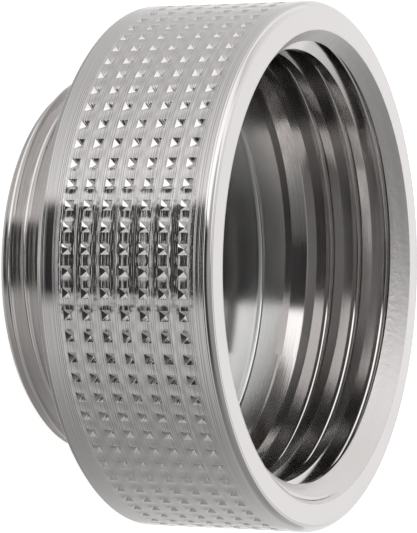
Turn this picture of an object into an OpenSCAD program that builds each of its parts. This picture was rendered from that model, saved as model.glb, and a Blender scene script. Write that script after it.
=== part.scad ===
// Water filter adapter, turned from one piece of brass bar and plated.
// The axis is Z. The outside thread stands at z = 0 and the wide mouth opens upward.
// All lengths are in millimetres, all angles in degrees.

/* [Body] */
// outside diameter of the gripped body
body_diameter = 30; // [28.5:0.1:40]
// length of the body along the axis, without the spigot
body_length = 10.3; // [9:0.1:20]
// rounding of the outer edge at the mouth
front_edge_radius = 0.5; // [0.2:0.05:0.8]
// rounding of the outer edge at the spigot
back_edge_radius = 0.3; // [0.1:0.05:0.8]

/* [Inside thread] */
// largest diameter of the inside thread, at its roots
female_major_diameter = 26.441; // [25:0.01:27]
// diameter of the drilled bore, which is also the thread's crest
female_bore_diameter = 24.66; // [23:0.01:25.5]
// distance from one inside thread groove to the next
female_pitch = 1.814; // [1.4:0.001:2.2]
// full angle of the inside thread's V
female_angle = 55; // [50:1:60]
// radius of the inside thread's rounded root
female_root_radius = 0.249; // [0.05:0.001:0.3]
// diameter of the mouth's chamfer at the face
mouth_diameter = 26.7; // [25:0.05:28]
// smallest diameter of the floor of the thread's shallow first groove
lead_diameter = 25.6; // [24.8:0.05:26]
// angle of that floor to the axis, left by the lead of the tap
lead_angle = 22; // [0:1:30]
// how much wider that groove is than the others
lead_extra_width = 0.28; // [0:0.02:0.6]
// length of the plain bore between the seat and the inside thread
seat_bore_length = 1.6; // [0.6:0.05:3]
// thickness of the web between the washer seat and the back of the body
seat_web = 0.9; // [0.6:0.05:3]
// rounding in the corner of the washer seat
seat_corner_radius = 0.22; // [0.05:0.01:0.5]

/* [Spigot] */
// length of the spigot along the axis
spigot_length = 4.7; // [3.5:0.1:12]
// largest diameter of the outside thread, at its crests
male_major_diameter = 22; // [18:0.1:24]
// distance from one outside thread crest to the next
male_pitch = 1; // [0.7:0.05:1.5]
// full angle of the outside thread's V
male_angle = 60; // [55:1:60]
// chamfer on the end of the spigot
end_chamfer = 0.65; // [0.3:0.05:1.2]
// width of the undercut between the outside thread and the body
undercut_width = 0.9; // [0.5:0.1:3]
// depth that the undercut is taken into the shoulder
shoulder_relief = 0.15; // [0.05:0.05:0.4]
// distance that the relief in the shoulder reaches past the thread's crests
shoulder_relief_reach = 0.25; // [0.1:0.05:1]

/* [Waterway] */
// diameter of the hole that the water runs through
waterway_diameter = 12.5; // [6:0.1:16]
// chamfer at both ends of the waterway
waterway_chamfer = 0.3; // [0.1:0.05:0.8]

/* [Knurl] */
// number of dimples round the body
dimples_round = 80; // [40:1:120]
// number of rings of dimples along the body
dimple_rings = 7; // [3:1:12]
// distance from one ring of dimples to the next
dimple_pitch = 1.145; // [0.8:0.005:1.6]
// side of each square dimple at the surface
dimple_side = 0.64; // [0.3:0.02:0.9]
// depth of each dimple at its point
dimple_depth = 0.2; // [0.05:0.01:0.4]
// turn of the dimples round the axis
dimple_turn = 1.25; // [0:0.05:4.5]
// distance from the body's middle to the dimples' middle, toward the mouth
dimple_offset = 0.14; // [-0.6:0.02:0.6]

/* [Hidden] */
// facets round the turned surfaces
turned_facets = 180;
// facets in each rounded edge or root
arc_facets = 6;
// how far a cutting shape runs past the surface that it cuts
overshoot = 0.1;

body_r = body_diameter / 2;
face_z = spigot_length + body_length;
waterway_r = waterway_diameter / 2;

// the bore's steps, from the seat up through the thread's grooves
female_major_r = female_major_diameter / 2;
bore_r = female_bore_diameter / 2;
mouth_r = mouth_diameter / 2;
lead_r = lead_diameter / 2;
seat_z = spigot_length + seat_web;
female_slope = tan(female_angle / 2);
female_tilt = 90 - female_angle / 2;
root_centre_r = female_major_r - female_root_radius;
lead_start = seat_z + seat_bore_length;
lead_z = lead_start + lead_extra_width + groove_half(bore_r);
lead_slope = tan(lead_angle);
lead_floor = (lead_extra_width + 2 * groove_half(lead_r)) / (1 + female_slope * lead_slope);
first_groove = lead_z + female_pitch;
last_groove = face_z - groove_half(bore_r);
grooves = max(1, floor((last_groove - first_groove) / female_pitch) + 1);

// the outside thread has crest flats of an eighth and root arcs of a seventh of its pitch
male_major_r = male_major_diameter / 2;
male_slope = tan(male_angle / 2);
male_tilt = 90 - male_angle / 2;
male_crest_half = male_pitch / 16;
male_root_radius = male_pitch * 0.1443;
male_root_r = male_major_r - male_pitch * 0.6134;
valley_centre_r = male_root_r + male_root_radius;
undercut_start = spigot_length - undercut_width;
undercut_top = undercut_start - (male_major_r - male_root_r) * male_slope;
last_valley = undercut_top - male_crest_half * 2 - valley_half(male_major_r);
valleys = max(1, ceil(last_valley / male_pitch));

// the rings of dimples lie about the middle of the body's length
dimple_field = (dimple_rings - 1) * dimple_pitch;
first_ring = spigot_length + (body_length - dimple_field) / 2 + dimple_offset;

// Half the width of an inside thread groove at radius r.
function groove_half(r) = female_root_radius * sin(female_tilt)
    + (root_centre_r + female_root_radius * cos(female_tilt) - r) * female_slope;

// Half the width of an outside thread valley at radius r.
function valley_half(r) = male_root_radius * sin(male_tilt)
    + (r - valley_centre_r + male_root_radius * cos(male_tilt)) * male_slope;

// Points on an arc about [r, z].
function arc(r, z, radius, from, to) =
    [for (i = [0 : arc_facets]) let (a = from + (to - from) * i / arc_facets)
        [r + radius * cos(a), z + radius * sin(a)]];

// The bar after its outside is turned: spigot, shoulder, body and mouth face.
module blank_section() {
    polygon(concat(
        [[0, 0], [male_major_r - end_chamfer, 0], [male_major_r, end_chamfer],
            [male_major_r, spigot_length]],
        arc(body_r - back_edge_radius, spigot_length + back_edge_radius,
            back_edge_radius, -90, 0),
        arc(body_r - front_edge_radius, face_z - front_edge_radius,
            front_edge_radius, 0, 90),
        [[0, face_z]]));
}

// The waterway, chamfered at both ends.
module waterway_section() {
    polygon([[0, -overshoot], [waterway_r + waterway_chamfer + overshoot, -overshoot],
        [waterway_r, waterway_chamfer], [waterway_r, seat_z - waterway_chamfer],
        [waterway_r + waterway_chamfer + overshoot, seat_z + overshoot],
        [0, seat_z + overshoot]]);
}

// The bored socket: washer seat, plain bore and the mouth's chamfer.
module socket_section() {
    polygon(concat(
        [[0, seat_z]],
        arc(bore_r - seat_corner_radius, seat_z + seat_corner_radius,
            seat_corner_radius, -90, 0),
        [[bore_r, face_z - mouth_r + bore_r],
            [mouth_r + overshoot, face_z + overshoot], [0, face_z + overshoot]]));
}

// The thread's shallow first groove, where the lead of the tap cut only part of the V.
module lead_section() {
    inner = bore_r - overshoot;
    floor_start = lead_start + (lead_r - bore_r) * female_slope;
    polygon([[inner, lead_start - overshoot * female_slope], [lead_r, floor_start],
        [lead_r + lead_floor * lead_slope, floor_start + lead_floor],
        [inner, lead_z + groove_half(inner)]]);
}

// One groove of the inside thread, with a rounded root.
module groove_section(z) {
    inner = bore_r - overshoot;
    polygon(concat(
        [[inner, z - groove_half(inner)]],
        arc(root_centre_r, z, female_root_radius, -female_tilt, female_tilt),
        [[inner, z + groove_half(inner)]]));
}

// One valley of the outside thread, with a rounded root.
module valley_section(z) {
    outer = male_major_r + overshoot;
    polygon(concat(
        [[outer, z + valley_half(outer)]],
        arc(valley_centre_r, z, male_root_radius, 180 - male_tilt, 180 + male_tilt),
        [[outer, z - valley_half(outer)]]));
}

// The undercut between the outside thread and the shoulder. It is taken a little into
// the shoulder, so that what seats there lies flat past the thread.
module undercut_section() {
    outer = male_major_r + shoulder_relief_reach;
    polygon([[male_root_r, undercut_start], [male_root_r, spigot_length + shoulder_relief],
        [outer, spigot_length + shoulder_relief],
        [outer + shoulder_relief + overshoot, spigot_length - overshoot],
        [outer, spigot_length - overshoot],
        [outer, undercut_start - (outer - male_root_r) * male_slope]]);
}

// Half of the finished wall, as cut on the lathe.
module wall_section() {
    difference() {
        blank_section();
        waterway_section();
        socket_section();
        lead_section();
        for (i = [0 : grooves - 1]) groove_section(first_groove + i * female_pitch);
        undercut_section();
        for (i = [0 : valleys - 1]) valley_section(last_valley - i * male_pitch);
    }
}

// Corners of the pyramid that presses one dimple, its point inward.
function dimple_points(angle, z) =
    let (half = dimple_side / 2 * (dimple_depth + overshoot) / dimple_depth,
        outer = body_r + overshoot)
    concat(
        [for (c = [[-half, -half], [half, -half], [half, half], [-half, half]])
            [outer * cos(angle) - c[0] * sin(angle),
                outer * sin(angle) + c[0] * cos(angle), z + c[1]]],
        [[(body_r - dimple_depth) * cos(angle), (body_r - dimple_depth) * sin(angle), z]]);

// All the pyramids of the knurling roll, one for every dimple.
module knurl() {
    points = [for (i = [0 : dimples_round - 1]) for (j = [0 : dimple_rings - 1])
        each dimple_points(dimple_turn + i * 360 / dimples_round,
            first_ring + j * dimple_pitch)];
    faces = [for (n = [0 : dimples_round * dimple_rings - 1])
        each [for (f = [[3, 2, 1, 0], [0, 1, 4], [1, 2, 4], [2, 3, 4], [3, 0, 4]])
            [for (v = f) 5 * n + v]]];
    polyhedron(points, faces);
}

// The whole adapter: one turned piece with a knurled grip.
module adapter_body() {
    color("#c9c7c4")
    difference() {
        rotate_extrude($fn = turned_facets) wall_section();
        knurl();
    }
}

adapter_body();
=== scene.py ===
"""A turned, plated and knurled filter adapter, as a product photograph shows it.

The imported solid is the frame. The visible piece stands for it, with true helical
threads, pressed dimples and rounded edges. Lengths are in metres; the mesh is
modelled in millimetres and brought to metres when it is finished.
"""

import math

import bmesh
import bpy
from bpy.props import FloatProperty, FloatVectorProperty, IntProperty, PointerProperty
from mathutils import Matrix, Vector


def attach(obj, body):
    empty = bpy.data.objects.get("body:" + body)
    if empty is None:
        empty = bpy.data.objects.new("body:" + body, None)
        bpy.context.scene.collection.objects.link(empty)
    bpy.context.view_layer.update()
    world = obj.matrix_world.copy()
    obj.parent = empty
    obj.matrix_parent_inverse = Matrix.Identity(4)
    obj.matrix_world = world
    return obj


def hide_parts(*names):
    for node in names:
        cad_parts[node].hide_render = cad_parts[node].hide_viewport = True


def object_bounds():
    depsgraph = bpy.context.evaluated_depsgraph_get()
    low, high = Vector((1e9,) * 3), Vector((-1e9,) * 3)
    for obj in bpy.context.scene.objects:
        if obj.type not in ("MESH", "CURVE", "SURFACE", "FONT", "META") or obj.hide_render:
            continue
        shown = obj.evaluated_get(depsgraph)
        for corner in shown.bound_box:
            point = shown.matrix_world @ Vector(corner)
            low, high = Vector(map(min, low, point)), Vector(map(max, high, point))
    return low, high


bl_info = {
    "name": "Filter adapter",
    "version": (1, 0, 0),
    "blender": (4, 5, 0),
    "location": "View3D > Sidebar > Adapter",
    "description": "Builds a turned and knurled filter adapter, its finish and its studio",
    "category": "Add Mesh",
}

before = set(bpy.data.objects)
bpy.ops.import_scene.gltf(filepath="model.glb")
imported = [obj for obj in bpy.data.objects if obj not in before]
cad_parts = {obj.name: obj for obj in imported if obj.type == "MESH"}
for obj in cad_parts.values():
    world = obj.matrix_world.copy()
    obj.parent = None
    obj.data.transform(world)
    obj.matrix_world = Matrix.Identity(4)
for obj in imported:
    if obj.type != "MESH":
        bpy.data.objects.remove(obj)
CAD_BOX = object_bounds()

MM = 1000.0  # millimetres in a metre
OUTSIDE_DEPTH = 0.6134  # depth of the outside thread, as a share of its pitch
FULL_FROM = math.radians(200)  # place round the axis where the inside thread gets its full depth
STOP_REACH = math.radians(72)  # how far round the axis the tap's step stays shallow
STOP_STEP = 0.33  # millimetres: how much shallower that step is
LIP, SINK = 0.03, 0.012  # millimetres: width and drop of the soft edge of a dimple
SHARP = 22  # degrees: edges that turn more than this are shaded sharp
PICTURE_HEIGHT = 533  # pixels
FOCAL = 2973.0  # focal length in pixels
AIM_OFFSET = (10.9, -0.7)  # pixels from the picture's middle to the point aimed at
SENSOR = 36.0  # millimetres
ABOVE_FLOOR = 0.00002  # metres: how high the shade lies over the floor
HELIX_STEP = 1.46  # degrees between a helix's sections
HOLD = 0.02  # millimetres of straight wall that holds the shading beside a rounding
CLEAR = 0.2  # millimetres that a cutting shape runs past the surface that it cuts
PIECE = "turned_body"
NODE = "adapter_body"
SLOT = "plated_metal"
BODY = "root"


def length(name, text, default):
    """A length in metres that a user may change."""
    return FloatProperty(
        name=name, description=text, default=default, min=0.0, unit="LENGTH", precision=5
    )


# sizes and colours


class TurnedSizes(bpy.types.PropertyGroup):
    body_radius: length("Body radius", "Outside radius of the gripped body", CAD_BOX[1][0])
    face_height: length("Face height", "Height of the mouth's face", CAD_BOX[1][2])
    shoulder_height: length("Shoulder height", "Height of the body's back", 0.0047)
    front_rounding: length("Front rounding", "Rounding of the outer edge at the mouth", 0.0005)
    back_rounding: length("Back rounding", "Rounding of the outer edge at the back", 0.0003)
    mouth_radius: length("Mouth radius", "Radius of the mouth's chamfer at the face", 0.01335)
    bore_radius: length("Bore radius", "Radius of the bore, at the inside thread's crests", 0.01233)
    seat_height: length("Seat height", "Height of the washer seat", 0.0056)
    seat_rounding: length("Seat rounding", "Rounding in the corner of the washer seat", 0.00022)
    waterway_radius: length("Waterway radius", "Radius of the hole for the water", 0.00625)
    waterway_chamfer: length("Waterway chamfer", "Chamfer at both ends of the hole", 0.0003)
    spigot_radius: length("Spigot radius", "Radius of the outside thread's crests", 0.011)
    spigot_chamfer: length("Spigot chamfer", "Chamfer on the end of the spigot", 0.00065)
    undercut_start: length("Undercut start", "Height at which the undercut begins", 0.0038)
    shoulder_relief: length("Shoulder relief", "Depth of the undercut in the shoulder", 0.00015)
    shoulder_reach: length("Shoulder reach", "Reach of the undercut past the crests", 0.00025)


class ThreadSizes(bpy.types.PropertyGroup):
    inside_major: length("Inside root radius", "Radius at the inside thread's roots", 0.0132205)
    inside_pitch: length("Inside pitch", "Pitch of the inside thread", 0.001814)
    inside_angle: FloatProperty(
        name="Inside angle", description="Full angle of the inside thread",
        default=math.radians(55), subtype="ANGLE",
    )
    inside_round: length("Inside root rounding", "Rounding of the inside thread's roots", 0.000249)
    inside_height: length(
        "Inside height", "Height of the inside thread's first groove, on the +X side", 0.008097
    )
    lead_radius: length("Lead radius", "Smallest radius of the shallow first groove's floor", 0.0128)
    lead_width: length("Lead width", "How much wider the shallow first groove is", 0.00028)
    lead_angle: FloatProperty(
        name="Lead angle", description="Angle of the shallow first groove's floor to the axis",
        default=math.radians(22), subtype="ANGLE",
    )
    stop_angle: FloatProperty(
        name="Stop angle", description="Place round the axis where the tap stopped and left a step",
        default=math.radians(-25.7), subtype="ANGLE",
    )
    outside_pitch: length("Outside pitch", "Pitch of the outside thread", 0.001)
    outside_angle: FloatProperty(
        name="Outside angle", description="Full angle of the outside thread",
        default=math.radians(60), subtype="ANGLE",
    )
    outside_round: length("Outside root rounding", "Rounding of the outside thread's roots", 0.000144)
    outside_end: length(
        "Outside end height", "Height at which the outside thread ends in the undercut", 0.0040
    )
    outside_end_angle: FloatProperty(
        name="Outside end angle", description="Place round the axis of the outside thread's end",
        default=math.radians(150), subtype="ANGLE",
    )


class KnurlSizes(bpy.types.PropertyGroup):
    dimples_round: IntProperty(name="Dimples round", description="Dimples in one ring", default=80, min=12)
    rings: IntProperty(name="Rings", description="Rings of dimples", default=7, min=1)
    pitch: length("Ring pitch", "Distance from one ring of dimples to the next", 0.001145)
    middle: length("Middle height", "Height of the dimples' middle ring", 0.00999)
    side: length("Dimple side", "Side of a dimple at the surface", 0.0005)
    depth: length("Dimple depth", "Depth of a dimple at its point", 0.00021)
    softness: length("Dimple softness", "Width of the rounding between a dimple's facets", 0.00005)
    turn: FloatProperty(
        name="Turn", description="Turn of the dimples round the axis",
        default=math.radians(1.25), subtype="ANGLE",
    )


class FinishValues(bpy.types.PropertyGroup):
    metal: FloatVectorProperty(
        name="Metal", description="Colour of the plated metal",
        default=(0.72, 0.697, 0.687), subtype="COLOR", min=0, max=1,
    )
    # painted shade: a darker, greyer copy of the metal, blended in deep in the bore by the washer seat
    shade_painted_metal: FloatVectorProperty(
        name="Deep metal", description="Colour of the duller metal round the washer seat",
        default=(0.66, 0.66, 0.655), subtype="COLOR", min=0, max=1,
    )
    roughness: FloatProperty(
        name="Roughness", description="Roughness of the metal", default=0.12, min=0, max=1
    )
    chamfer_roughness: FloatProperty(
        name="Chamfer roughness", description="Extra roughness of the mouth's chamfer",
        default=0.32, min=0, max=1,
    )
    seat_roughness: FloatProperty(
        name="Seat roughness", description="Extra roughness round the washer seat",
        default=0.06, min=0, max=1,
    )
    ring_spacing: length("Ring spacing", "Distance between the lathe's rings", 0.00017)
    ring_depth: length("Ring depth", "Depth of the lathe's rings on the outside", 0.000009)
    inside_ring_depth: length("Inside ring depth", "Depth of the lathe's rings elsewhere", 0.0000005)
    bulge_depth: length("Bulge", "Height of the metal pushed up between dimples", 0.000024)
    burr_depth: length("Burr", "Height of the torn metal at the mouth's chamfer", 0.000012)


class StudioValues(bpy.types.PropertyGroup):
    floor_white: FloatVectorProperty(
        name="Floor", description="Colour of the floor",
        default=(0.92, 0.92, 0.92), subtype="COLOR", min=0, max=1,
    )
    floor_reach: length("Floor reach", "Half the side of the floor", 3.0)
    shade_radius: length("Shade radius", "Radius of the shade under the waterway", 0.0098)
    shade_level: FloatProperty(
        name="Shade level", description="Brightness of the shade under the waterway",
        default=0.22, min=0, max=1,
    )
    camera_distance: length("Camera distance", "Distance from the camera to the object", 0.17143)
    camera_tilt: FloatProperty(
        name="Camera tilt", description="Angle between the axis and the line of sight",
        default=math.radians(64.41), subtype="ANGLE",
    )
    camera_roll: FloatProperty(
        name="Camera roll", description="Roll of the camera", default=math.radians(0.40), subtype="ANGLE"
    )
    aim_height: length("Aim height", "Height on the axis at which the camera looks", 0.007143)


# mesh


def arc_points(centre, radius, start, end, count):
    """Points (r, z) on an arc in the section."""
    points = []
    for i in range(count + 1):
        a = math.radians(start + (end - start) * i / count)
        points.append((centre[0] + radius * math.cos(a), centre[1] + radius * math.sin(a)))
    return points


def held_arc(centre, radius, start, end, count):
    """An arc with a short straight piece at each end, which keeps the walls beside it shaded flat."""
    points = arc_points(centre, radius, start, end, count)
    way = 1 if end > start else -1
    a, b = math.radians(start), math.radians(end)
    before = (points[0][0] + way * HOLD * math.sin(a), points[0][1] - way * HOLD * math.cos(a))
    after = (points[-1][0] - way * HOLD * math.sin(b), points[-1][1] + way * HOLD * math.cos(b))
    return [before] + points + [after]


def add_loop(bm, points, closed=True):
    """Adds a chain of edges through points (r, z) in the plane y = 0."""
    verts = [bm.verts.new((r, 0.0, z)) for r, z in points]
    pairs = list(zip(verts, verts[1:]))
    if closed:
        pairs.append((verts[-1], verts[0]))
    return verts, [bm.edges.new(pair) for pair in pairs]


def turned_shell(s, t, k):
    """The whole turned wall as one closed shell, with rows for the knurl left plain."""
    body, face = s.body_radius * MM, s.face_height * MM
    shoulder = s.shoulder_height * MM
    spigot = s.spigot_radius * MM
    root = spigot - OUTSIDE_DEPTH * t.outside_pitch * MM
    bore = s.bore_radius * MM
    hole, edge = s.waterway_radius * MM, s.waterway_chamfer * MM
    seat, fillet = s.seat_height * MM, s.seat_rounding * MM
    front, back = s.front_rounding * MM, s.back_rounding * MM
    dip, reach = s.shoulder_relief * MM, s.shoulder_reach * MM
    under = s.undercut_start * MM
    mouth = s.mouth_radius * MM
    slope = math.tan(t.outside_angle / 2)
    points = [(hole + edge, 0.0), (spigot - s.spigot_chamfer * MM, 0.0), (spigot, s.spigot_chamfer * MM)]
    points += [(spigot, under - (spigot - root) * slope), (root, under), (root, shoulder + dip)]
    points += [(spigot + reach, shoulder + dip), (spigot + reach + dip, shoulder)]
    points += held_arc((body - back, shoulder + back), back, -90, 0, 5)
    middle, pitch = k.middle * MM, k.pitch * MM
    low = middle - k.rings * pitch / 2
    points += [(body, low + pitch * i) for i in range(k.rings + 1)]
    points += held_arc((body - front, face - front), front, 0, 90, 9)
    points += [(mouth, face), (bore, face - mouth + bore)]
    points += held_arc((bore - fillet, seat + fillet), fillet, 0, -90, 5)
    points += [(hole + edge, seat), (hole, seat - edge), (hole, edge)]
    bm = bmesh.new()
    verts, edges = add_loop(bm, points)
    # a column of the knurl starts half a dimple before the first dimple's middle
    turn = k.turn - math.pi / k.dimples_round
    bmesh.ops.rotate(bm, verts=verts, cent=(0, 0, 0), matrix=Matrix.Rotation(turn, 3, "Z"))
    bmesh.ops.spin(
        bm, geom=verts + edges, cent=(0, 0, 0), axis=(0, 0, 1),
        angle=2 * math.pi, steps=3 * k.dimples_round, use_merge=True,
    )
    bmesh.ops.remove_doubles(bm, verts=bm.verts, dist=1e-5)
    bmesh.ops.recalc_face_normals(bm, faces=bm.faces)
    return bm


def helix_cutter(name, section, start, end, pitch):
    """A groove's section, which stands at angle 0, run along a right-hand helix from start to end."""
    bm = bmesh.new()
    verts, edges = add_loop(bm, section)
    face = bm.faces.new(verts)
    lift = pitch * start / (2 * math.pi)
    bmesh.ops.rotate(bm, verts=verts, cent=(0, 0, 0), matrix=Matrix.Rotation(start, 3, "Z"))
    bmesh.ops.translate(bm, verts=verts, vec=(0, 0, lift))
    count = max(2, round((end - start) / math.radians(HELIX_STEP)))
    bmesh.ops.spin(
        bm, geom=[face] + verts + edges, cent=(0, 0, 0), axis=(0, 0, 1),
        dvec=(0, 0, pitch * (end - start) / (2 * math.pi * count)), angle=end - start, steps=count,
    )
    bmesh.ops.remove_doubles(bm, verts=bm.verts, dist=1e-6)
    bmesh.ops.recalc_face_normals(bm, faces=bm.faces)
    return mesh_object(bm, name)


def inside_half(t, radius):
    """Half the width of the inside thread's V at a radius."""
    rounding, half = t.inside_round * MM, t.inside_angle / 2
    apex = t.inside_major * MM - rounding + rounding / math.sin(half)
    return (apex - radius) * math.tan(half)


def inside_groove(s, t):
    """Section of the inside thread's groove, from inside the bore out to its round root."""
    inner = s.bore_radius * MM - CLEAR
    rounding, half = t.inside_round * MM, t.inside_angle / 2
    tilt = 90 - math.degrees(half)
    width, z = inside_half(t, inner), t.inside_height * MM
    arc = held_arc((t.inside_major * MM - rounding, z), rounding, -tilt, tilt, 8)
    return [(inner, z - width)] + arc + [(inner, z + width)]


def lead_groove(s, t, floor, extra, slope):
    """Section of the shallow first groove: the V with a flat, leaning floor and some extra width."""
    inner, z = s.bore_radius * MM - CLEAR, t.inside_height * MM
    flank = math.tan(t.inside_angle / 2)
    start = z - extra - inside_half(t, floor)
    rise = (extra + 2 * inside_half(t, floor)) / (1 + flank * slope)
    return [
        (inner, z - extra - inside_half(t, inner)), (floor, start),
        (floor + rise * slope, start + rise), (inner, z + inside_half(t, inner)),
    ]


def outside_groove(s, t):
    """Section of the outside thread's groove, from outside the crests in to its round root."""
    outer = s.spigot_radius * MM + CLEAR
    rounding, half = t.outside_round * MM, t.outside_angle / 2
    centre = s.spigot_radius * MM - OUTSIDE_DEPTH * t.outside_pitch * MM + rounding
    tilt = math.degrees(math.pi / 2 - half)
    edge = rounding * math.sin(math.radians(tilt))
    run = outer - centre + rounding * math.cos(math.radians(tilt))
    width = edge + run * math.tan(half)
    arc = held_arc((centre, 0.0), rounding, 180 - tilt, 180 + tilt, 6)
    return [(outer, width)] + arc + [(outer, -width)]


def mesh_object(bm, name):
    """A new object in the scene from a bmesh, which is freed."""
    mesh = bpy.data.meshes.new(name)
    bm.to_mesh(mesh)
    bm.free()
    obj = bpy.data.objects.new(name, mesh)
    bpy.context.scene.collection.objects.link(obj)
    return obj


def cut(obj, cutters):
    """Takes each cutter out of obj and deletes the cutters."""
    for cutter in cutters:
        modifier = obj.modifiers.new("cut", "BOOLEAN")
        modifier.operation = "DIFFERENCE"
        modifier.solver = "EXACT"
        modifier.object = cutter
    bpy.context.view_layer.update()
    evaluated = obj.evaluated_get(bpy.context.evaluated_depsgraph_get())
    mesh = bpy.data.meshes.new_from_object(evaluated)
    obj.modifiers.clear()
    old = obj.data
    obj.data = mesh
    bpy.data.meshes.remove(old)
    for cutter in cutters:
        data = cutter.data
        bpy.data.objects.remove(cutter)
        bpy.data.meshes.remove(data)


def press_dimples(bm, s, k):
    """Presses the knurl's square dimples into the plain band of the body."""
    body, pitch = s.body_radius * MM, k.pitch * MM
    low = k.middle * MM - k.rings * pitch / 2
    high = low + k.rings * pitch
    band = []
    for face in bm.faces:
        c = face.calc_center_median()
        if math.hypot(c.x, c.y) > body - 0.02 and low < c.z < high and len(face.verts) == 4:
            band.append(face)
    # one cell is three of the band's narrow faces side by side
    step = 2 * math.pi / k.dimples_round
    start = k.turn - step / 2
    inner = set()
    for face in band:
        for edge in face.edges:
            a, b = edge.verts
            if abs(a.co.z - b.co.z) < 0.1:
                continue
            column = (math.atan2(a.co.y, a.co.x) - start) / step
            if abs(column - round(column)) > 0.1:
                inner.add(edge)
    bmesh.ops.dissolve_edges(bm, edges=list(inner), use_verts=False, use_face_split=False)
    cells = []
    for face in bm.faces:
        if len(face.verts) != 8:
            continue
        c = face.calc_center_median()
        if math.hypot(c.x, c.y) > body - 0.03 and low < c.z < high:
            cells.append(face)
    if len(cells) != k.dimples_round * k.rings:
        raise RuntimeError(f"{len(cells)} knurl cells instead of {k.dimples_round * k.rings}")
    ridges = {v for face in cells for v in face.verts}
    width = 2 * math.pi * body / k.dimples_round
    margin = (0.5 * (width + pitch) - k.side * MM) / 2
    bmesh.ops.inset_individual(bm, faces=cells, thickness=margin - LIP, use_even_offset=True)
    bmesh.ops.inset_individual(bm, faces=cells, thickness=LIP, depth=-SINK, use_even_offset=True)
    tips = bmesh.ops.poke(bm, faces=cells)["verts"]
    for tip in tips:
        flat = Vector((tip.co.x, tip.co.y, 0)).normalized()
        tip.co.x, tip.co.y = flat.x * (body - k.depth * MM), flat.y * (body - k.depth * MM)
    for v in ridges:
        if low + 0.1 < v.co.z < high - 0.1:
            v.co.x *= 1 - SINK / body
            v.co.y *= 1 - SINK / body
    valleys = [e for tip in tips for e in tip.link_edges if e.calc_face_angle(0.0) > 0.3]
    bmesh.ops.bevel(
        bm, geom=valleys, offset=k.softness * MM, offset_type="OFFSET", segments=2, profile=0.5,
        affect="EDGES", clamp_overlap=True, material=-1,
    )


def shade(bm, sharp_degrees):
    """Smooth faces with the sharp edges marked by angle."""
    limit = math.radians(sharp_degrees)
    for face in bm.faces:
        face.smooth = True
    for edge in bm.edges:
        edge.smooth = len(edge.link_faces) == 2 and edge.calc_face_angle(0.0) < limit


def thread_cutters(s, t):
    """The helical grooves of both threads, with the step that the tap left where it stopped."""
    pitch = t.inside_pitch * MM
    rise = (s.face_height - t.inside_height) * MM
    end = 2 * math.pi * (rise / pitch + 0.5)
    slope = math.tan(t.lead_angle)
    floor = t.lead_radius * MM
    lead = lead_groove(s, t, floor, t.lead_width * MM, slope)
    stop = lead_groove(s, t, floor - STOP_STEP, 0.0, slope)
    cutters = [
        helix_cutter("full_groove", inside_groove(s, t), FULL_FROM, end, pitch),
        helix_cutter("lead_groove", lead, t.stop_angle, FULL_FROM + 0.2, pitch),
        helix_cutter("stop_groove", stop, t.stop_angle - STOP_REACH, t.stop_angle + 0.05, pitch),
    ]
    pitch = t.outside_pitch * MM
    start = -2 * math.pi * 1.2
    end = 2 * math.pi * (t.outside_end * MM / pitch) + t.outside_end_angle
    cutters.append(helix_cutter("outside_groove", outside_groove(s, t), start, end, pitch))
    return cutters


def build_body(s, t, k):
    """The finished body: turned, threaded on both sides and knurled."""
    body = mesh_object(turned_shell(s, t, k), PIECE)
    cut(body, thread_cutters(s, t))
    bm = bmesh.new()
    bm.from_mesh(body.data)
    bmesh.ops.remove_doubles(bm, verts=bm.verts, dist=1e-4)
    bmesh.ops.dissolve_degenerate(bm, edges=bm.edges, dist=1e-4)
    press_dimples(bm, s, k)
    bmesh.ops.recalc_face_normals(bm, faces=bm.faces)
    shade(bm, SHARP)
    bmesh.ops.scale(bm, vec=(1 / MM, 1 / MM, 1 / MM), verts=bm.verts)
    bm.to_mesh(body.data)
    bm.free()
    return body


# materials


# radii, heights and distances in metres by which the finish tells the part's surfaces apart
OUTER_FACE, OUTSIDE = 0.0143, 0.0146  # from the flat face to the body's outside
SPIGOT_FROM = 0.0095  # only the spigot's outside is wider than this below the body
BODY_HALF = 0.0052  # from the knurl's middle down to the spigot
BAND_FADE = 0.0001  # over which the pressed band ends
CHAMFER_NEAR, CHAMFER_FAR = 0.00002, 0.00006  # from the chamfer's slant
CHAMFER_DROP = 0.00105  # from the face down to the chamfer's inner edge
EDGE_OFFSET = 0.0002  # from the bore out to the torn ring's middle
EDGE_NEAR, EDGE_FAR = 0.0001, 0.0004  # from the torn ring's middle
BORE_WITHIN = 0.0126  # radius that holds the bore and the seat
SEAT_FROM = 0.0052  # height just under the washer seat
# deep in the bore the metal grows rougher and gets painted shade, a darker colour
DEEP_TO, DEEP_FROM = 0.006, 0.0075  # heights between which the metal grows duller


class Nodes:
    """A short way to add nodes and links to one tree."""

    def __init__(self, tree):
        self.tree = tree

    def add(self, kind, values=None, **settings):
        node = self.tree.nodes.new(kind)
        for key, value in settings.items():
            setattr(node, key, value)
        for key, value in (values or {}).items():
            socket = node.inputs[key]
            if isinstance(value, bpy.types.NodeSocket):
                self.tree.links.new(value, socket)
            else:
                socket.default_value = value
        return node

    def math(self, operation, a, b=0.0, c=0.0, clamp=False):
        node = self.add("ShaderNodeMath", {0: a, 1: b, 2: c}, operation=operation, use_clamp=clamp)
        return node.outputs[0]


def empty_material(name):
    """A new material without nodes, and the way to add them."""
    material = bpy.data.materials.new(name)
    material.use_nodes = True
    material.node_tree.nodes.clear()
    return material, Nodes(material.node_tree)


def finish_material(n, shader):
    """Links a shader to the material's output."""
    n.tree.links.new(shader.outputs[0], n.add("ShaderNodeOutputMaterial").inputs[0])


def new_group(name, inputs, outputs):
    """An empty shader node group with named sockets."""
    tree = bpy.data.node_groups.new(name, "ShaderNodeTree")
    for label, kind, default in inputs:
        socket = tree.interface.new_socket(label, in_out="INPUT", socket_type=kind)
        socket.default_value = default
    for label, kind in outputs:
        tree.interface.new_socket(label, in_out="OUTPUT", socket_type=kind)
    nodes = Nodes(tree)
    return tree, nodes, nodes.add("NodeGroupInput"), nodes.add("NodeGroupOutput")


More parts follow.
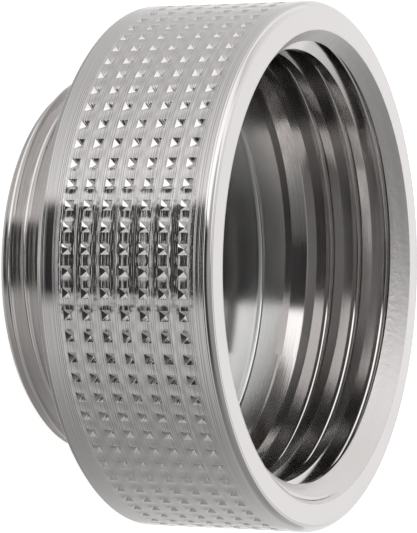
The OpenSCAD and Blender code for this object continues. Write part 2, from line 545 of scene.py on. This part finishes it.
def round_and_up(n):
    """The radius, the height and the turn round the axis of a point on the part."""
    place = n.add("ShaderNodeSeparateXYZ", {0: n.add("ShaderNodeTexCoord").outputs["Object"]}).outputs
    square = n.math("ADD", n.math("MULTIPLY", place[0], place[0]), n.math("MULTIPLY", place[1], place[1]))
    return n.math("SQRT", square), place[2], n.math("ARCTAN2", place[1], place[0])


def between(n, value, start, end, low=0.0, high=1.0):
    """A number that goes from low to high while value goes from start to end."""
    return n.add("ShaderNodeMapRange", {0: value, 1: start, 2: end, 3: low, 4: high}).outputs[0]


def blend(n, factor, a, b):
    """A colour between a and b."""
    return n.add("ShaderNodeMix", {"Factor": factor, "A": a, "B": b}, data_type="RGBA").outputs["Result"]


def spots(n, scale, detail):
    """Noise all over the part."""
    place = n.add("ShaderNodeTexCoord").outputs["Object"]
    return n.add("ShaderNodeTexNoise", {"Vector": place, "Scale": scale, "Detail": detail}).outputs[0]


def bump(n, height, distance, normal=None):
    """A normal tilted by a height, over the surface's own normal or another bump's."""
    values = {"Height": height, "Strength": 1.0, "Distance": distance}
    if normal is not None:
        values["Normal"] = normal
    return n.add("ShaderNodeBump", values).outputs[0]


def turning_marks_group():
    """Fine rings that a lathe tool leaves: they change along the section, never round the axis."""
    tree, n, given, put = new_group(
        "turning_marks", [("Spacing", "NodeSocketFloat", 0.00017)], [("Height", "NodeSocketFloat")]
    )
    radius, height, _ = round_and_up(n)
    along = n.math("ADD", n.math("MULTIPLY", radius, 0.94), height)
    count = n.math("DIVIDE", along, given.outputs["Spacing"])

    def noise(rate, detail):
        values = {"W": n.math("MULTIPLY", count, rate), "Scale": 1.0, "Detail": detail}
        return n.add("ShaderNodeTexNoise", values, noise_dimensions="1D").outputs[0]

    turns = n.math("ADD", count, n.math("MULTIPLY", noise(0.45, 0.0), 1.6))
    ring = n.math("SINE", n.math("MULTIPLY", turns, 2 * math.pi))
    depth = between(n, noise(0.23, 1.0), 0.3, 0.7, 0.25, 1.0)
    ring = n.math("MULTIPLY", n.math("MULTIPLY", ring, depth), 0.5)
    rough = n.math("MULTIPLY", noise(2.7, 1.0), 0.9)
    tree.links.new(n.math("ADD", ring, rough), put.inputs["Height"])
    return tree


def pressed_band_group(k):
    """How the metal between the knurl's dimples bulges, and where the outside surfaces lie."""
    tree, n, given, put = new_group(
        "pressed_band", [], [("Height", "NodeSocketFloat"), ("Outside", "NodeSocketFloat")],
    )
    radius, height, turn = round_and_up(n)
    across = n.math("MULTIPLY", n.math("SUBTRACT", turn, k.turn), float(k.dimples_round))
    above_middle = n.math("SUBTRACT", height, k.middle)
    row = n.math("COSINE", n.math("MULTIPLY", above_middle, math.pi / k.pitch))
    bulge = n.math("MULTIPLY", n.math("COSINE", across), n.math("MULTIPLY", row, row))
    bulge = n.math("ADD", bulge, n.math("MULTIPLY", spots(n, 2600.0, 1.0), 0.5))
    body = between(n, radius, OUTER_FACE, OUTSIDE)
    reach = k.rings * k.pitch / 2
    band = between(n, n.math("ABSOLUTE", above_middle), reach, reach + BAND_FADE, 1.0, 0.0)
    below_body = n.math("LESS_THAN", height, k.middle - BODY_HALF)
    spigot = n.math("MULTIPLY", below_body, n.math("GREATER_THAN", radius, SPIGOT_FROM))
    tree.links.new(n.math("MULTIPLY", n.math("MULTIPLY", bulge, band), body), put.inputs["Height"])
    tree.links.new(n.math("MAXIMUM", body, n.math("MULTIPLY", spigot, 0.6)), put.inputs["Outside"])
    return tree


def mouth_group(s):
    """Where the mouth's chamfer lies, its torn inner edge, and how near the washer seat is, where the
    metal is rougher and has painted shade.
    """
    tree, n, given, put = new_group(
        "mouth", [],
        [("Chamfer", "NodeSocketFloat"), ("Burr", "NodeSocketFloat"), ("Depth", "NodeSocketFloat")],
    )
    radius, height, _ = round_and_up(n)
    slant = n.math("SUBTRACT", n.math("SUBTRACT", height, radius), s.face_height - s.mouth_radius)
    on_slant = between(n, n.math("ABSOLUTE", slant), CHAMFER_NEAR, CHAMFER_FAR, 1.0, 0.0)
    at_mouth = n.math("GREATER_THAN", height, s.face_height - CHAMFER_DROP)
    from_edge = n.math("ABSOLUTE", n.math("SUBTRACT", radius, s.bore_radius + EDGE_OFFSET))
    edge = n.math("MULTIPLY", between(n, from_edge, EDGE_NEAR, EDGE_FAR, 1.0, 0.0), at_mouth)
    # the depth mask roughens the metal deep in the bore and blends in its painted shade
    depth = between(n, height, DEEP_FROM, DEEP_TO)
    in_bore = n.math("LESS_THAN", radius, BORE_WITHIN)
    above_seat = n.math("GREATER_THAN", height, SEAT_FROM)
    tree.links.new(n.math("MULTIPLY", n.math("MULTIPLY", in_bore, above_seat), depth), put.inputs["Depth"])
    tree.links.new(n.math("MULTIPLY", on_slant, at_mouth), put.inputs["Chamfer"])
    tree.links.new(n.math("MULTIPLY", edge, spots(n, 3800.0, 3.0)), put.inputs["Burr"])
    return tree


def handling_group():
    """Soft blotches and fine grain from handling."""
    tree, n, given, put = new_group(
        "handling", [], [("Blotch", "NodeSocketFloat"), ("Grain", "NodeSocketFloat")]
    )
    tree.links.new(spots(n, 260.0, 4.0), put.inputs["Blotch"])
    tree.links.new(spots(n, 2400.0, 2.0), put.inputs["Grain"])
    return tree


def metal_material(s, k, f):
    """Plated brass: a bright, slightly warm metal with lathe rings, faint handling marks and painted
    shade, darker and greyer deep in the bore by the washer seat.
    """
    material, n = empty_material(SLOT)
    marks = n.add("ShaderNodeGroup", node_tree=turning_marks_group())
    marks.inputs["Spacing"].default_value = f.ring_spacing
    band = n.add("ShaderNodeGroup", node_tree=pressed_band_group(k)).outputs
    mouth = n.add("ShaderNodeGroup", node_tree=mouth_group(s)).outputs
    wear = n.add("ShaderNodeGroup", node_tree=handling_group()).outputs

    base = tuple(f.metal) + (1.0,)
    worn = tuple(c * 0.94 for c in f.metal) + (1.0,)
    # painted shade: the colour turns darker and greyer deep in the bore, by the washer seat
    deep = tuple(f.shade_painted_metal) + (1.0,)
    colour = blend(n, mouth["Depth"], blend(n, wear["Blotch"], worn, base), deep)

    rough = between(n, wear["Blotch"], 0.3, 0.7, f.roughness * 0.8, f.roughness * 1.2)
    rough = n.math("ADD", rough, n.math("MULTIPLY", mouth["Chamfer"], f.chamfer_roughness))
    rough = n.math("ADD", rough, n.math("MULTIPLY", mouth["Depth"], f.seat_roughness))

    ring_depth = between(n, band["Outside"], 0.0, 1.0, f.inside_ring_depth, f.ring_depth)
    grain = n.math("MULTIPLY", n.math("MULTIPLY", wear["Grain"], mouth["Chamfer"]), 2.2)
    torn = n.math("ADD", n.math("MULTIPLY", mouth["Burr"], 3.0), grain)
    normal = bump(n, marks.outputs["Height"], ring_depth)
    normal = bump(n, band["Height"], f.bulge_depth, normal)
    normal = bump(n, torn, f.burr_depth, normal)
    values = {"Base Color": colour, "Metallic": 1.0, "Roughness": rough, "Normal": normal}
    finish_material(n, n.add("ShaderNodeBsdfPrincipled", values))
    return material


# studio


# how bright the studio is in each direction: azimuth in degrees, level
LOW_LIGHT = [
    (0, 1.15), (15, 1.05), (32, 0.78), (60, 0.72), (95, 0.69), (118, 0.8), (135, 0.9), (150, 1.0),
    (156, 0.05), (191, 0.03), (198, 0.64), (215, 0.62), (240, 0.44), (258, 0.38), (285, 0.45),
    (315, 0.64), (345, 0.75),
]
# the same without the dark card, for the heights that the card leaves open
OPEN_LIGHT = [
    (0, 1.15), (15, 1.05), (32, 0.78), (60, 0.72), (95, 0.69), (118, 0.8), (135, 0.9), (150, 1.05),
    (175, 1.1), (198, 0.64), (215, 0.62), (240, 0.44), (258, 0.38), (285, 0.45), (315, 0.64),
    (345, 0.75),
]
# just above the horizon
SIDE_LIGHT = [
    (0, 1.1), (45, 1.1), (75, 1.2), (95, 1.35), (157, 1.5), (160, 0.03), (191, 0.03),
    (198, 0.12), (218, 0.19), (235, 0.28), (260, 0.38), (300, 0.42), (330, 0.6),
]
MIDDLE_LIGHT = [
    (0, 1.05), (30, 1.0), (60, 0.9), (75, 0.75), (90, 1.2), (125, 1.5), (157, 1.7),
    (162, 0.03), (215, 0.05), (240, 0.2), (270, 0.3), (315, 0.35), (330, 0.6), (350, 1.05),
]
HIGH_LIGHT = [
    (0, 0.4), (30, 0.8), (60, 1.25), (92, 1.35), (104, 0.65), (135, 0.55), (165, 0.45),
    (240, 0.35), (300, 0.4),
]
# the card's heights, as (upward part of the direction, share of the card)
CARD_HEIGHTS = [(-1.0, 0), (-0.72, 0), (-0.64, 1), (-0.22, 1), (-0.15, 0), (0.0, 0), (0.08, 1), (1.0, 1)]


def ramp(n, value, stops):
    """Levels that follow value through stops (place from 0 to 1, level)."""
    node = n.add("ShaderNodeValToRGB", {0: value})
    elements = node.color_ramp.elements
    while len(elements) > 1:
        elements.remove(elements[0])
    for i, (place, level) in enumerate(stops):
        element = elements[0] if i == 0 else elements.new(place)
        element.position = place
        element.color = (level, level, level, 1)
    return node.outputs[0]


def light_ring(n, turn, stops):
    """Brightness round the studio at one height."""
    return ramp(n, turn, [(degrees / 360, level) for degrees, level in stops + [(360, stops[0][1])]])


def smooth(n, value, start, end):
    """A soft step from 0 to 1."""
    node = n.add("ShaderNodeMapRange", {0: value, 1: start, 2: end}, interpolation_type="SMOOTHSTEP")
    return node.outputs[0]


def studio_world():
    """White to the camera; metal mirrors a bright studio with one dark card at the camera's side."""
    world = bpy.data.worlds.new("studio")
    bpy.context.scene.world = world
    world.use_nodes = True
    world.node_tree.nodes.clear()
    n = Nodes(world.node_tree)
    way = n.add("ShaderNodeSeparateXYZ", {0: n.add("ShaderNodeTexCoord").outputs["Generated"]}).outputs
    azimuth = n.math("ARCTAN2", way[1], way[0])
    turn = n.math("FRACT", n.math("ADD", n.math("DIVIDE", azimuth, 2 * math.pi), 1.0))
    height = way[2]
    half = n.math("MULTIPLY", n.math("ADD", height, 1.0), 0.5)
    card = ramp(n, half, [((up + 1) / 2, share) for up, share in CARD_HEIGHTS])
    low = blend(n, card, light_ring(n, turn, OPEN_LIGHT), light_ring(n, turn, LOW_LIGHT))
    # what lies round the part is darker towards the bottom
    fade = n.math("MINIMUM", between(n, height, -0.75, -0.1, 0.6, 1.25), 1.12)
    values = {"Factor": 1.0, "A": low, "B": fade}
    low = n.add("ShaderNodeMix", values, data_type="RGBA", blend_type="MULTIPLY").outputs["Result"]
    light = blend(n, smooth(n, height, 0.06, 0.22), low, light_ring(n, turn, SIDE_LIGHT))
    light = blend(n, smooth(n, height, 0.33, 0.41), light, light_ring(n, turn, MIDDLE_LIGHT))
    light = blend(n, smooth(n, height, 0.72, 0.87), light, light_ring(n, turn, HIGH_LIGHT))
    # the white background lies on the far side of the part; every mirror shows it there
    behind = n.math("MULTIPLY", n.math("GREATER_THAN", way[0], 0.85), n.math("LESS_THAN", height, 0.3))
    path = n.add("ShaderNodeLightPath").outputs
    mirrored = n.math("MAXIMUM", path["Is Glossy Ray"], path["Is Transmission Ray"])
    white = n.math("MAXIMUM", path["Is Camera Ray"], n.math("MULTIPLY", mirrored, behind))
    seen = blend(n, white, light, (1, 1, 1, 1))
    sky = n.add("ShaderNodeBackground", {"Color": seen, "Strength": 1.0})
    n.tree.links.new(sky.outputs[0], n.add("ShaderNodeOutputWorld").inputs[0])


def floor_material(v):
    """A pale floor that is white to the camera and keeps the object's soft shadow."""
    material, n = empty_material("floor")
    matt = n.add("ShaderNodeBsdfDiffuse", {"Color": tuple(v.floor_white) + (1.0,)})
    path = n.add("ShaderNodeLightPath").outputs
    seen = n.math("MAXIMUM", path["Is Camera Ray"], path["Is Glossy Ray"])
    seen = n.math("MAXIMUM", seen, path["Is Transmission Ray"])
    glow = n.add("ShaderNodeEmission", {"Color": (1, 1, 1, 1), "Strength": n.math("MULTIPLY", seen, 0.8)})
    finish_material(n, n.add("ShaderNodeAddShader", {0: matt.outputs[0], 1: glow.outputs[0]}))
    return material


def shade_material(v):
    """The dim light that the waterway shows to the metal round it."""
    material, n = empty_material("shade")
    grey = (v.shade_level,) * 3 + (1.0,)
    finish_material(n, n.add("ShaderNodeEmission", {"Color": grey, "Strength": 1.0}))
    return material


def build_floor(v):
    """The floor, and the shade under the part that its metal mirrors through the waterway."""
    bm = bmesh.new()
    bmesh.ops.create_grid(bm, x_segments=1, y_segments=1, size=v.floor_reach)
    floor = mesh_object(bm, "floor")
    floor.data.materials.append(floor_material(v))
    floor.visible_glossy = False
    bm = bmesh.new()
    bmesh.ops.create_circle(bm, cap_ends=True, radius=v.shade_radius, segments=48)
    bmesh.ops.translate(bm, verts=bm.verts, vec=(0, 0, ABOVE_FLOOR))
    shade_disc = mesh_object(bm, "shade")
    shade_disc.data.materials.append(shade_material(v))
    shade_disc.visible_camera = False


def build_camera(v):
    """The camera looks at the axis from the side of the mouth."""
    tilt, roll = v.camera_tilt, v.camera_roll
    back = Vector((-math.sin(tilt), 0, math.cos(tilt)))
    right = Vector((math.cos(tilt), 0, math.sin(tilt)))
    up = back.cross(right)
    across = math.cos(roll) * right + math.sin(roll) * up
    upward = -math.sin(roll) * right + math.cos(roll) * up
    data = bpy.data.cameras.new("camera")
    data.sensor_fit = "VERTICAL"
    data.sensor_height = SENSOR
    data.lens = FOCAL * SENSOR / PICTURE_HEIGHT
    data.shift_x = AIM_OFFSET[0] / PICTURE_HEIGHT
    data.shift_y = AIM_OFFSET[1] / PICTURE_HEIGHT
    data.clip_start = 0.01
    data.clip_end = 20
    camera = bpy.data.objects.new("camera", data)
    place = Vector((0, 0, v.aim_height)) + back * v.camera_distance
    camera.matrix_world = Matrix(
        (
            (across.x, upward.x, back.x, place.x),
            (across.y, upward.y, back.y, place.y),
            (across.z, upward.z, back.z, place.z),
            (0, 0, 0, 1),
        )
    )
    bpy.context.scene.collection.objects.link(camera)
    bpy.context.scene.camera = camera


# operators


class ADAPTER_OT_body(bpy.types.Operator):
    """Builds the turned body with its threads, knurl and finish"""

    bl_idname = "adapter.body"
    bl_label = "Turned body"

    def execute(self, context):
        scene = context.scene
        body = build_body(scene.adapter_turned, scene.adapter_threads, scene.adapter_knurl)
        metal = metal_material(scene.adapter_turned, scene.adapter_knurl, scene.adapter_finish)
        body.data.materials.clear()
        body.data.materials.append(metal)
        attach(body, BODY)
        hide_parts(NODE)
        return {"FINISHED"}


class ADAPTER_OT_studio(bpy.types.Operator):
    """Sets the floor, the studio light and the camera"""

    bl_idname = "adapter.studio"
    bl_label = "Studio"

    def execute(self, context):
        values = context.scene.adapter_studio
        studio_world()
        build_floor(values)
        build_camera(values)
        context.scene.view_settings.view_transform = "Standard"
        return {"FINISHED"}


class ADAPTER_PT_panel(bpy.types.Panel):
    """Lists the steps that build the adapter"""

    bl_label = "Filter adapter"
    bl_idname = "ADAPTER_PT_panel"
    bl_space_type = "VIEW_3D"
    bl_region_type = "UI"
    bl_category = "Adapter"

    def draw(self, context):
        for step in (ADAPTER_OT_body, ADAPTER_OT_studio):
            self.layout.operator(step.bl_idname)
        for name in GROUPS:
            group = getattr(context.scene, name)
            for prop in group.bl_rna.properties:
                if prop.identifier not in {"rna_type", "name"}:
                    self.layout.prop(group, prop.identifier)


GROUPS = {
    "adapter_turned": TurnedSizes,
    "adapter_threads": ThreadSizes,
    "adapter_knurl": KnurlSizes,
    "adapter_finish": FinishValues,
    "adapter_studio": StudioValues,
}
CLASSES = [*GROUPS.values(), ADAPTER_OT_body, ADAPTER_OT_studio, ADAPTER_PT_panel]


def register():
    for cls in CLASSES:
        bpy.utils.register_class(cls)
    for name, cls in GROUPS.items():
        setattr(bpy.types.Scene, name, PointerProperty(type=cls))


def unregister():
    for name in GROUPS:
        delattr(bpy.types.Scene, name)
    for cls in reversed(CLASSES):
        bpy.utils.unregister_class(cls)


def main():
    register()
    bpy.ops.adapter.body()
    bpy.ops.adapter.studio()


if __name__ == "__main__":
    main()
